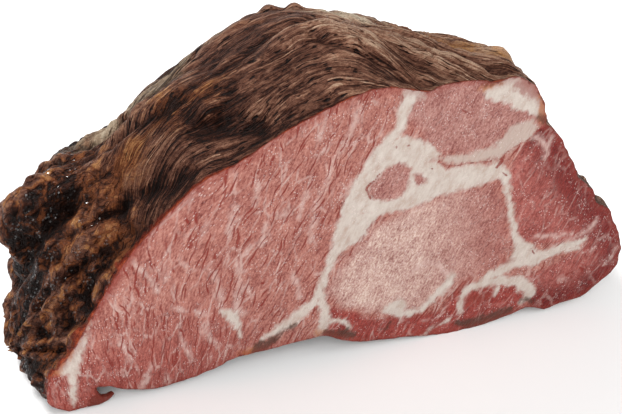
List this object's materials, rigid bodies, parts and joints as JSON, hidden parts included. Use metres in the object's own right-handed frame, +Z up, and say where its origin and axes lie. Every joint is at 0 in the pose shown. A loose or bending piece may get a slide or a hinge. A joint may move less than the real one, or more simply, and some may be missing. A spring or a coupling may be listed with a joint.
{
  "type": "smoked pork collar",
  "caption": "Half of a smoked and cured neck of pork: a flat cut face with marbled meat, and dark wrinkled smoked skin over the rest.",
  "frame": {"origin": "the middle of the bounding box's bottom, in the plane that the piece rests on", "axes": "+X runs along the cut from its low left toe to its right end, +Y from the cut to the rounded back, +Z up; the cut face looks along -Y"},
  "size_m": [0.176, 0.0978, 0.0926],
  "materials": {
    "smoked_pork": "dark brown smoked skin, dry and fibrous on the crown and wet at the left end; the cut shows cured pink meat with cream-white fat"
  },
  "bodies": {
    "root": {"smoked_pork_collar": "smoked_pork"}
  },
  "joints": []
}
